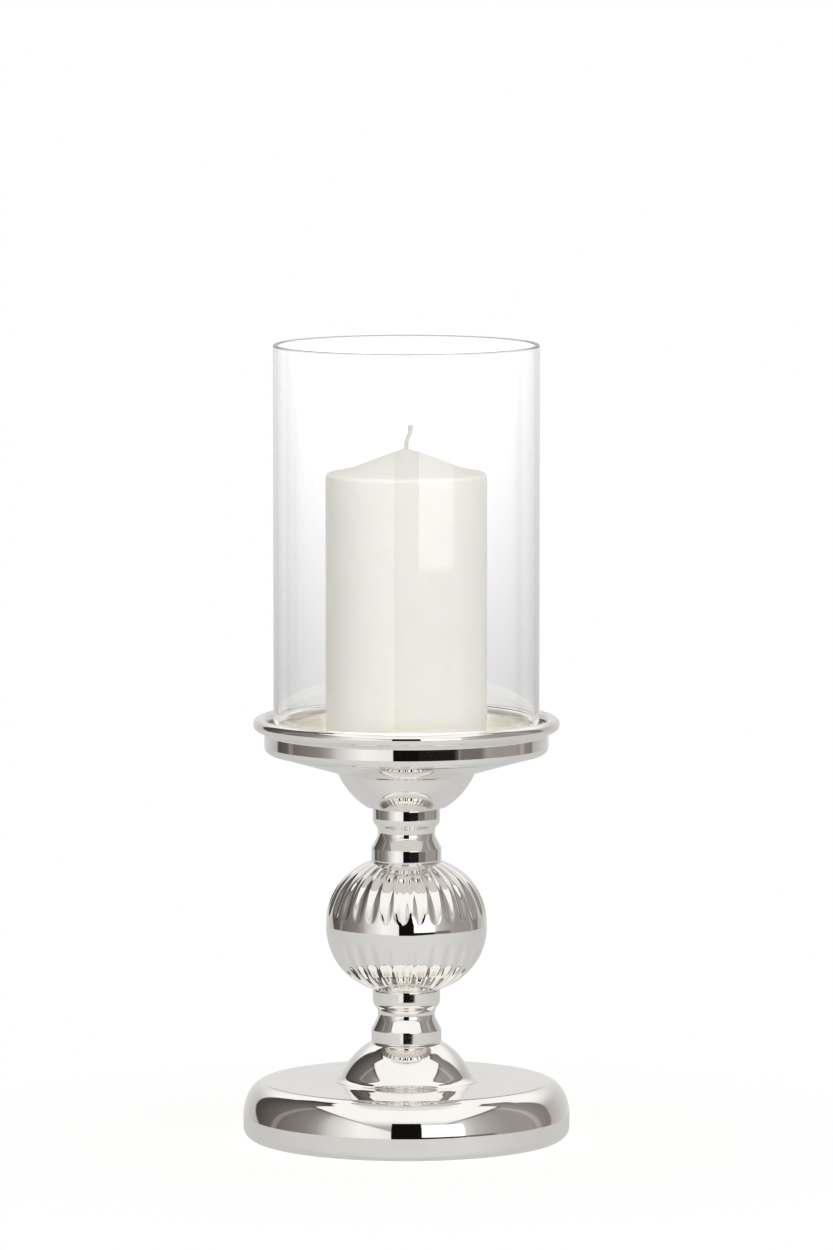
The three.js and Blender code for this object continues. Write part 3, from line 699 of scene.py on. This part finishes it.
def glass_finish(name, tint, clear, haze):
    """Clear glass with faint upright draw lines as bump, and even absorption inside."""
    material, tree, place = new_finish(name)
    upright = add(tree, "ShaderNodeMapping", {"Vector": place, "Scale": (1.0, 1.0, DRAW_STRETCH)})
    lines = add(tree, "ShaderNodeTexNoise", {"Vector": upright, "Scale": grain(DRAW_LINE), "Detail": 1.0})
    bump = add(tree, "ShaderNodeBump", {"Height": lines, "Strength": 1.0, "Distance": DRAW_RELIEF * MM})
    shader = add(tree, "ShaderNodeBsdfPrincipled", {
        "Base Color": linear(tint), "Roughness": haze, "IOR": 1.5, "Transmission Weight": clear,
        "Normal": bump})
    inside = add(tree, "ShaderNodeVolumeAbsorption", {"Color": linear("#CDCECC"), "Density": 12.0})
    add(tree, "ShaderNodeOutputMaterial", {"Surface": shader, "Volume": inside})
    return material


chimney.data.materials.append(glass_finish("soda_glass_drawn_tube", "#FFFFFF", 1.0, 0.0))
chimney.data.materials.append(glass_finish("soda_glass_ground_end", "#C6BBB5", 0.25, 0.3))
level = face_middles(chimney)[1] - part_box("glass_chimney")[0].z / MM
ground = np.abs(level - GLASS_HEIGHT / 2) > (GLASS_HEIGHT - GLASS_EDGE) / 2
chimney.data.polygons.foreach_set("material_index", ground.astype(np.int32))
chimney.visible_shadow = False
print("glass on the chimney, which lets the lamps through to the candle")

# %% [markdown]
# ### Candle wax
# Ivory paraffin and stearin let light in a few millimetres and give it back softer and warmer. The cast
# side is smooth but not quite even: slow mottling in the colour, and faint upright flow marks from the mould.

# %% Wax
MOTTLE = 9.0            # millimetres across the mottling
FLOW_MARK = 3.0         # width of a flow mark
FLOW_STRETCH = 0.05     # its width as a part of its length
WAX_RELIEF = 0.02
WAX_DEPTH = 4.0         # how far light goes into the wax


def wax_finish():
    """Ivory wax: mottled colour, subsurface light, upright flow marks in the roughness, very fine bump."""
    material, tree, place = new_finish("paraffin_wax_moulded")
    mottle, colour = mottled(tree, place, MOTTLE, 5.0, (0.3, 0.7), "#F0EFE9", "#F3F2ED")
    upright = add(tree, "ShaderNodeMapping", {"Vector": place, "Scale": (1.0, 1.0, FLOW_STRETCH)})
    flow = add(tree, "ShaderNodeTexNoise", {"Vector": upright, "Scale": grain(FLOW_MARK), "Detail": 3.0})
    gloss = add(tree, "ShaderNodeMapRange", {"Value": flow, **NOISE, "To Min": 0.38, "To Max": 0.5})
    bump = add(tree, "ShaderNodeBump", {"Height": mottle, "Strength": 0.5, "Distance": WAX_RELIEF * MM})
    shader = add(tree, "ShaderNodeBsdfPrincipled", {"Base Color": colour, "Roughness": gloss, "IOR": 1.44,
        "Subsurface Weight": 0.6, "Subsurface Radius": (1.0, 0.8, 0.55),
        "Subsurface Scale": WAX_DEPTH * MM, "Normal": bump})
    add(tree, "ShaderNodeOutputMaterial", {"Surface": shader})
    return material


candle.data.materials.append(wax_finish())
print("wax on the candle")

# %% [markdown]
# ### The small finishes
# The wick is bleached cotton, the foot is pressed wool felt, and inside the lantern there are zinc-plated
# fasteners, a rough iron casting and a fibre board. Each is two tones mixed by a noise at the size of its
# fibres or grit.

# %% Cotton, felt, zinc, iron and board
EVEN = (1.0, 1.0, 1.0)


def grainy_finish(name, dark, pale, size, stretch, rough, metallic, relief):
    """Two tones mixed by a noise of the given grain size in millimetres, stretched along the axes, which
    also sets the roughness between two values and raises the surface by the relief in millimetres."""
    material, tree, place = new_finish(name)
    along = add(tree, "ShaderNodeMapping", {"Vector": place, "Scale": stretch})
    noise, colour = mottled(tree, along, size, 6.0, (0.35, 0.65), dark, pale)
    gloss = add(tree, "ShaderNodeMapRange", {
        "Value": noise, **NOISE, "To Min": rough[0], "To Max": rough[1]})
    bump = add(tree, "ShaderNodeBump", {"Height": noise, "Strength": 0.6, "Distance": relief * MM})
    shader = add(tree, "ShaderNodeBsdfPrincipled", {
        "Base Color": colour, "Roughness": gloss, "Metallic": metallic,
        "Normal": bump})
    add(tree, "ShaderNodeOutputMaterial", {"Surface": shader})
    return material


cotton = grainy_finish("cotton_braided", "#D2CEC5", "#E8E5DD", 0.5, (1.0, 1.0, 0.4), (0.8, 0.95), 0.0, 0.08)
wool = grainy_finish("wool_felt_pressed", "#1D2621", "#35423B", 0.7, EVEN, (0.9, 1.0), 0.0, 0.2)
zinc = grainy_finish("steel_zinc_plated", "#9DA0A4", "#B7BABE", 1.5, EVEN, (0.28, 0.42), 1.0, 0.02)
iron = grainy_finish("iron_sand_cast", "#3A3A3C", "#545456", 1.2, EVEN, (0.6, 0.8), 1.0, 0.15)
board = grainy_finish("fibre_board_pressed", "#7C7266", "#958B7E", 0.9, EVEN, (0.8, 0.95), 0.0, 0.05)
wick.data.materials.append(cotton)
felt.data.materials.append(wool)

hidden = {"zinc_steel": zinc, "cast_iron": iron, "board": board}
for subpart in frame["record"]["subparts"]:
    if subpart["material_slot"] in hidden:
        node = frame["nodes"][subpart["node"]]
        node.material_slots[0].material = hidden[subpart["material_slot"]]
        print(subpart["node"], "is", node.material_slots[0].material.name)

# %% [markdown]
# ## The studio
# A mirror shows its surroundings, so the studio matters as much as the metal. A product photographer builds
# it from cards: a white one right of the lens, a dark gap round the lens, flags of grey cloth that run from
# the left of the lens and along both sides, a white sky, a pale floor, and a dark slot far behind. They could
# be planes, but the world's shader can hold them as well: each one is a patch of directions, by azimuth from
# the camera's side and by elevation, and it is laid over the ones before it.

# %% Directions and patches
WHITE = (1.0, 1.0, 1.0, 1.0)
SMOOTH = "SMOOTHSTEP"


def directions(tree):
    """Azimuth and elevation of a ray in degrees, arctan2(x, -y) and arcsin(z), and the azimuth's size."""
    toward = add(tree, "ShaderNodeTexCoord").outputs["Generated"]
    axes = add(tree, "ShaderNodeSeparateXYZ", {"Vector": toward}).outputs
    front = add(tree, "ShaderNodeMath", {0: axes["Y"], 1: -1.0}, operation="MULTIPLY")
    turn = add(tree, "ShaderNodeMath", {0: axes["X"], 1: front}, operation="ARCTAN2")
    climb = add(tree, "ShaderNodeMath", {0: axes["Z"]}, operation="ARCSINE")
    azimuth = add(tree, "ShaderNodeMath", {0: turn}, operation="DEGREES")
    elevation = add(tree, "ShaderNodeMath", {0: climb}, operation="DEGREES")
    side = add(tree, "ShaderNodeMath", {0: azimuth}, operation="ABSOLUTE")
    return azimuth, elevation, side


def cover(tree, light, tone, edges, blend="LINEAR", kind="FLOAT"):
    """Lays a tone over the light by a mask. The mask is the product of one fade for each edge, which is 0
    where its value is at the start and 1 where it is at the stop."""
    mask = 1.0
    for value, start, stop in edges:
        fade = add(tree, "ShaderNodeMapRange", {
            "Value": value, "From Min": start, "From Max": stop}, interpolation_type=blend)
        mask = add(tree, "ShaderNodeMath", {0: mask, 1: fade}, operation="MULTIPLY")
    return add(tree, "ShaderNodeMix", {"Factor": mask, "A": light, "B": tone}, data_type=kind)


print("the studio is drawn by azimuth and elevation")

# %% Backdrop and ceiling
SKY = 1.0
# the backdrop's brightness by azimuth, beside the flags and straight behind
BACK = {"From Min": 125.0, "From Max": 176.0, "To Min": 0.46, "To Max": 0.76}
BACK_TOP = (36.0, 14.0)         # elevations between which the sky fades into the backdrop
CEILING = 0.8                   # beyond the lights overhead it is duller
CEILING_EDGE = (68.0, 76.0)


def backdrop(tree, elevation, side):
    """A white sky, a backdrop that is greyer beside the flags than straight behind, and a ceiling."""
    grey = add(tree, "ShaderNodeMapRange", {"Value": side, **BACK})
    light = cover(tree, SKY, grey, [(elevation, *BACK_TOP)], SMOOTH)
    return cover(tree, light, CEILING, [(elevation, *CEILING_EDGE)], SMOOTH)


print("the backdrop grows from", BACK["To Min"], "to", BACK["To Max"])

# %% Flags
# azimuth and brightness along the flags, which are lit from the front and so grow darker towards the back
FLAG_TONES = [
    (-132, 0.07), (-94, 0.19), (-76, 0.25), (-66, 0.37), (-58, 0.6), (-46, 0.8), (-34, 0.98), (-12, 0.88),
    (42, 0.68), (50, 0.5), (62, 0.4), (77, 0.33), (98, 0.34), (105, 0.29), (128, 0.19),
]
FLAG_SOFT = (2.0, 4.0)          # widths of the soft top and of the soft ends
# azimuth and elevation where the top starts, and where it is level
FLAG_RISE = ((37.0, 28.5), (110.0, 50.0))
# elevation of the taller rear part, by azimuth
FLAG_EAR = {"From Min": 96.0, "From Max": 100.0, "To Max": 61.0}
# azimuth of the rear end by elevation: the taller part reaches further round
FLAG_END = {"From Min": 44.0, "From Max": 50.0, "To Min": 132.5, "To Max": 142.5}
# elevations where the end draws in by nothing, and by the full tuck
FLAG_TUCK_SPAN = {"From Min": 22.0, "From Max": 54.0}
FLAG_TUCK = 8.0
# how much further round the left flag reaches, by elevation
FLAG_SHIFT = {"From Min": -8.0, "From Max": 8.0, "To Min": 2.0, "To Max": 8.5}
# part of the tone left in the dark hem, by the degrees under the top
HEM = {"From Max": 5.0, "To Min": 0.35}
# light of the pale seam between the two cloths of a flag, by the degrees from its middle
SEAM = {"From Min": 4.0, "From Max": 2.0, "To Max": 0.12}
SEAM_PLACE = 106.0
SEAM_LEAN = 0.33


def flag_depths(tree, azimuth, elevation, side):
    """Degrees that a direction lies under the flags' top and within their ends. The top rises by a parabola
    of the azimuth and is taller at the rear, and the ends draw in by a parabola of the elevation."""
    (near, low), (far, high) = FLAG_RISE
    short = add(tree, "ShaderNodeMapRange", {"Value": side, "From Min": far, "From Max": near}, clamp=False)
    short = add(tree, "ShaderNodeMath", {0: short, 1: 2.0}, operation="POWER")
    slope = add(tree, "ShaderNodeMath", {0: short, 1: low - high, 2: high}, operation="MULTIPLY_ADD")
    ear = add(tree, "ShaderNodeMapRange", {"Value": side, **FLAG_EAR})
    top = add(tree, "ShaderNodeMath", {0: slope, 1: ear}, operation="MAXIMUM")
    under = add(tree, "ShaderNodeMath", {0: top, 1: elevation}, operation="SUBTRACT")
    tuck = add(tree, "ShaderNodeMapRange", {"Value": elevation, **FLAG_TUCK_SPAN}, clamp=False)
    tuck = add(tree, "ShaderNodeMath", {0: tuck, 1: 2.0}, operation="POWER")
    reach = add(tree, "ShaderNodeMapRange", {"Value": elevation, **FLAG_END})
    end = add(tree, "ShaderNodeMath", {0: tuck, 1: -FLAG_TUCK, 2: reach}, operation="MULTIPLY_ADD")
    shift = add(tree, "ShaderNodeMapRange", {"Value": elevation, **FLAG_SHIFT})
    place = add(tree, "ShaderNodeMath", {0: azimuth, 1: shift}, operation="ADD")
    place = add(tree, "ShaderNodeMath", {0: place}, operation="ABSOLUTE")
    within = add(tree, "ShaderNodeMath", {0: end, 1: place}, operation="SUBTRACT")
    return under, within


def flags(tree, light, azimuth, elevation, side):
    """The flags' tone by azimuth, times a hem that is dark at the top, plus a pale seam that leans."""
    under, within = flag_depths(tree, azimuth, elevation, side)
    along = add(tree, "ShaderNodeMapRange", {"Value": azimuth, "From Min": -180.0, "From Max": 180.0})
    tones = add(tree, "ShaderNodeValToRGB", {"Fac": along})
    stops = tones.color_ramp.elements
    while len(stops) < len(FLAG_TONES):
        stops.new(1.0)
    for stop, (place, tone) in zip(stops, FLAG_TONES):
        stop.position = (place + 180) / 360
        stop.color = (tone, tone, tone, 1.0)
    hem = add(tree, "ShaderNodeMapRange", {"Value": under, **HEM})
    seam = add(tree, "ShaderNodeMath", {0: elevation, 1: SEAM_LEAN, 2: side}, operation="MULTIPLY_ADD")
    seam = add(tree, "ShaderNodeMath", {0: seam, 1: SEAM_PLACE}, operation="SUBTRACT")
    seam = add(tree, "ShaderNodeMath", {0: seam}, operation="ABSOLUTE")
    seam = add(tree, "ShaderNodeMapRange", {"Value": seam, **SEAM})
    cloth = add(tree, "ShaderNodeMath", {0: tones, 1: hem, 2: seam}, operation="MULTIPLY_ADD")
    top, end = FLAG_SOFT
    return cover(tree, light, cloth, [(under, -top / 2, top / 2), (within, -end / 2, end / 2)], SMOOTH)


print(len(FLAG_TONES), "tones along the flags")

# %% Cards and floor
# azimuth from, to; elevation from, to (degrees); soft edge across, up (degrees); brightness
CARDS = [
    (11.0, 42.0, -5.55, 22.5, 0.6, 0.1, 1.2),
    (-10.7, 10.7, -8.8, 27.0, 0.5, 0.4, 0.006),
    (10.0, 43.0, -8.8, -5.55, 0.6, 0.1, 0.012),
    (42.0, 66.0, -7.6, -4.6, 8.0, 1.0, 0.17),
]
# the floor's brightness and the elevation of its far edge, by azimuth
FLOOR = {"From Min": 40.0, "From Max": 110.0, "To Min": 0.7, "To Max": 0.6}
FLOOR_EDGE = {"From Min": 10.0, "From Max": 40.0, "To Min": -8.55, "To Max": -7.65}
FLOOR_SOFT = 0.1


def cards_and_floor(tree, light, azimuth, elevation, side):
    """Cards with four soft edges each, and a floor whose far edge rises a little towards the sides."""
    for west, east, bottom, top, across, up, tone in CARDS:
        light = cover(tree, light, tone, [
            (azimuth, west - across / 2, west + across / 2), (azimuth, east + across / 2, east - across / 2),
            (elevation, bottom - up / 2, bottom + up / 2), (elevation, top + up / 2, top - up / 2)], SMOOTH)
    pale = add(tree, "ShaderNodeMapRange", {"Value": side, **FLOOR})
    edge = add(tree, "ShaderNodeMapRange", {"Value": side, **FLOOR_EDGE})
    over = add(tree, "ShaderNodeMath", {0: elevation, 1: edge}, operation="SUBTRACT")
    return cover(tree, light, pale, [(over, 0.0, -FLOOR_SOFT)], SMOOTH)


print(len(CARDS), "cards")

# %% [markdown]
# ### What each kind of ray sees
# The world can ask how often a ray has bounced and passed through glass. A ray straight from the camera sees
# a white backdrop, and sees it grow brighter upwards through the glass. A ray off metal sees the cards, and
# their dark parts slightly warm. Inside the chimney it sees the glow of the glass instead. A ray off wax,
# cotton or paper gets one even, soft light, so that the cards' dark parts don't stain what is matt.

# %% Light in and through the glass
# brightness seen through the glass, by elevation
SEEN = {"From Min": -6.9, "From Max": -4.2, "To Min": 0.67, "To Max": 1.42}
SEEN_FOOT = (-8.4, -7.4)        # elevations between which that begins
SEEN_SIDES = (156.0, 164.0)     # azimuths between which it begins
ECHO = 0.65                     # part of it that metal inside the chimney sees
ECHO_SIDES = (125.0, 150.0)
# what metal inside the chimney sees after a second bounce, by azimuth
GLOW = {"From Min": 120.0, "From Max": 150.0, "To Min": 1.15, "To Max": 1.4}
GLOW_RISE = (0.0, 4.0)          # elevations between which that begins
SLOT_SIDES = (173.0, 177.0)     # azimuths of the dark slot's soft edge
SLOT_FOOT = (12.0, 15.0)
SLOT_TOP = (44.0, 36.0)
SLOT_TONE = 0.3


def through_glass(tree, light, path, elevation, side):
    """What rays that have passed through glass see, by the count of walls passed and of bounces."""
    beyond = add(tree, "ShaderNodeMapRange", {"Value": elevation, **SEEN})
    echo = add(tree, "ShaderNodeMath", {0: beyond, 1: ECHO}, operation="MULTIPLY")
    light = cover(tree, light, echo, [
        (side, *ECHO_SIDES), (elevation, *SEEN_FOOT), (path["Transmission Depth"], 0.0, 1.0)])
    glow = add(tree, "ShaderNodeMapRange", {"Value": side, **GLOW})
    light = cover(tree, light, glow, [
        (path["Transmission Depth"], 3.0, 4.0), (elevation, *GLOW_RISE), (path["Glossy Depth"], 1.0, 2.0)])
    light = cover(tree, light, SLOT_TONE, [
        (side, *SLOT_SIDES), (elevation, *SLOT_FOOT), (elevation, *SLOT_TOP)])
    return light, beyond


print("the glass shows from", SEEN["To Min"], "to", SEEN["To Max"], "of white")

# %% World
BACKDROP = 1.0
AMBIENT = (0.66, 0.5)               # light on a matt surface, outside and inside the chimney
RELAYED = (2.0, 6.0)                # the same for light that comes to it by way of a mirror
AMBIENT_TINT = linear("#FFFEFB")
DARK_TINT = linear("#FFF4EF")
DARK_SPAN = (0.3, 0.6)              # brightness between which the tint of the dark parts ends


def studio_world():
    """The studio as one shader: its light and tint for mirrors, then for matt surfaces and the camera."""
    world = bpy.data.worlds.new("studio")
    bpy.context.scene.world = world
    world.use_nodes = True
    world.cycles.sampling_method = "NONE"
    tree = world.node_tree
    tree.nodes.clear()
    path = add(tree, "ShaderNodeLightPath").outputs
    azimuth, elevation, side = directions(tree)
    light = backdrop(tree, elevation, side)
    light = flags(tree, light, azimuth, elevation, side)
    light = cards_and_floor(tree, light, azimuth, elevation, side)
    light, beyond = through_glass(tree, light, path, elevation, side)
    tint = cover(tree, DARK_TINT, WHITE, [(light, *DARK_SPAN)], kind="RGBA")

    # matt surfaces
    matt = (path["Diffuse Depth"], 0.0, 1.0)
    inside = (path["Transmission Depth"], 0.0, 1.0)
    ambient = cover(tree, *AMBIENT, [inside])
    relayed = cover(tree, *RELAYED, [inside])
    ambient = cover(tree, ambient, relayed, [(path["Glossy Depth"], 0.0, 1.0)])
    light = cover(tree, light, ambient, [matt])
    tint = cover(tree, tint, AMBIENT_TINT, [matt], kind="RGBA")

    # the camera, straight and through the glass
    bounces = add(tree, "ShaderNodeMath", {
        0: path["Glossy Depth"], 1: path["Diffuse Depth"]}, operation="ADD")
    direct = (bounces, 1.0, 0.0)
    seen = cover(tree, BACKDROP, beyond, [(side, *SEEN_SIDES), (elevation, *SEEN_FOOT)])
    seen = cover(tree, seen, BACKDROP, [(path["Is Camera Ray"], 0.0, 1.0)])
    light = cover(tree, light, seen, [direct])
    tint = cover(tree, tint, WHITE, [direct], kind="RGBA")
    shine = add(tree, "ShaderNodeBackground", {"Color": tint, "Strength": light})
    output = add(tree, "ShaderNodeOutputWorld", {"Surface": shine})
    print("studio drawn with", len(tree.nodes), "nodes, into", output.name)


studio_world()

# %% [markdown]
# ### Following the light
# A ray that looks at metal inside the chimney crosses four walls of glass, two surfaces each, and bounces
# between the metal pieces as well. Cut short, it would end in black, so light is followed further than usual.

# %% How far light is followed
light_paths = bpy.context.scene.cycles
light_paths.max_bounces = 32
light_paths.glossy_bounces = 16
light_paths.transmission_bounces = 24
print("light is followed through", light_paths.max_bounces, "surfaces")

# %% [markdown]
# ### Floor, lamps and camera
# The floor is a pale disc that keeps the lantern's shadow and fades into the white of the backdrop. Mirrors
# don't see it: in the studio the lantern stands on a plinth, so its metal reflects a floor far below, which
# is a card. The lamps light what is matt, and are hidden from the metal and the glass.

# %% Floor
FLOOR_RADIUS = 1800.0
FLOOR_THICKNESS = 2.0
# part of the paper's white that doesn't wait for the lamps, by metres from the lantern's foot
PAPER_GLOW = {"From Min": 0.1, "From Max": 0.3, "To Min": 0.8}


def floor_finish():
    """Matt pale paper near the lantern that fades by distance from the foot into plain white."""
    material, tree, place = new_finish("paper_sweep_matt")
    away = add(tree, "ShaderNodeVectorMath", {0: place}, operation="LENGTH")
    fade = add(tree, "ShaderNodeMapRange", {"Value": away, **PAPER_GLOW}, interpolation_type=SMOOTH)
    path = add(tree, "ShaderNodeLightPath").outputs
    looked_at = add(tree, "ShaderNodeMath", {
        0: path["Is Camera Ray"], 1: path["Is Transmission Ray"]}, operation="MAXIMUM")
    white = add(tree, "ShaderNodeMath", {0: fade, 1: looked_at}, operation="MULTIPLY")
    paper = add(tree, "ShaderNodeBsdfDiffuse", {"Color": linear("#FAF9F7")})
    glow = add(tree, "ShaderNodeEmission", {"Color": WHITE, "Strength": 1.0})
    mixed = add(tree, "ShaderNodeMixShader", {0: white, 1: paper, 2: glow})
    add(tree, "ShaderNodeOutputMaterial", {"Surface": mixed})
    return material


slab = joined((0, -FLOOR_THICKNESS), (FLOOR_RADIUS, -FLOOR_THICKNESS), (FLOOR_RADIUS, 0), (0, 0))
floor = skin("paper_floor", carried_round(slab[1:-1], NARROW), ring=False)
floor.data.materials.append(floor_finish())
floor.visible_glossy = False

# %% Lamps
# name, place in metres, width in metres, power in watts
LAMPS = [
    ("key_right", (1.6, -2.55, 0.5), 1.5, 29.0),
    ("fill_left", (-0.8, -2.85, 0.5), 1.5, 14.0),
    ("top_light", (0.0, 0.0, 2.4), 1.8, 12.0),
    ("back_fill", (0.0, 2.8, 0.5), 1.2, 14.0),
]
TARGET = np.array([0.0, 0.0, 0.22])

for name, place, width, watts in LAMPS:
    lamp = bpy.data.lights.new(name, "AREA")
    lamp.size = width
    lamp.energy = watts
    holder = bpy.data.objects.new(name, lamp)
    bpy.context.scene.collection.objects.link(holder)
    holder.location = place
    aim = Vector(TARGET - np.array(place))
    holder.rotation_euler = aim.to_track_quat("-Z", "Y").to_euler()
    holder.visible_glossy = False
    holder.visible_transmission = False
    print(name, watts, "W")

# %% Camera
CAMERA_PLACE = (0.005, -4.8, 0.751)
CAMERA_PITCH = 5.8713       # degrees below the level
LENS = 280.36
SENSOR = 36

camera_data = bpy.data.cameras.new("camera")
camera_data.sensor_fit = "VERTICAL"
camera_data.sensor_height = SENSOR
camera_data.lens = LENS
camera_data.clip_end = 100
camera = bpy.data.objects.new("camera", camera_data)
bpy.context.scene.collection.objects.link(camera)
camera.location = CAMERA_PLACE
camera.rotation_euler = (radians(90 - CAMERA_PITCH), 0, 0)
bpy.context.scene.camera = camera
bpy.context.scene.view_settings.view_transform = "Standard"
print("camera", CAMERA_PLACE, "with a lens of", LENS, "mm")
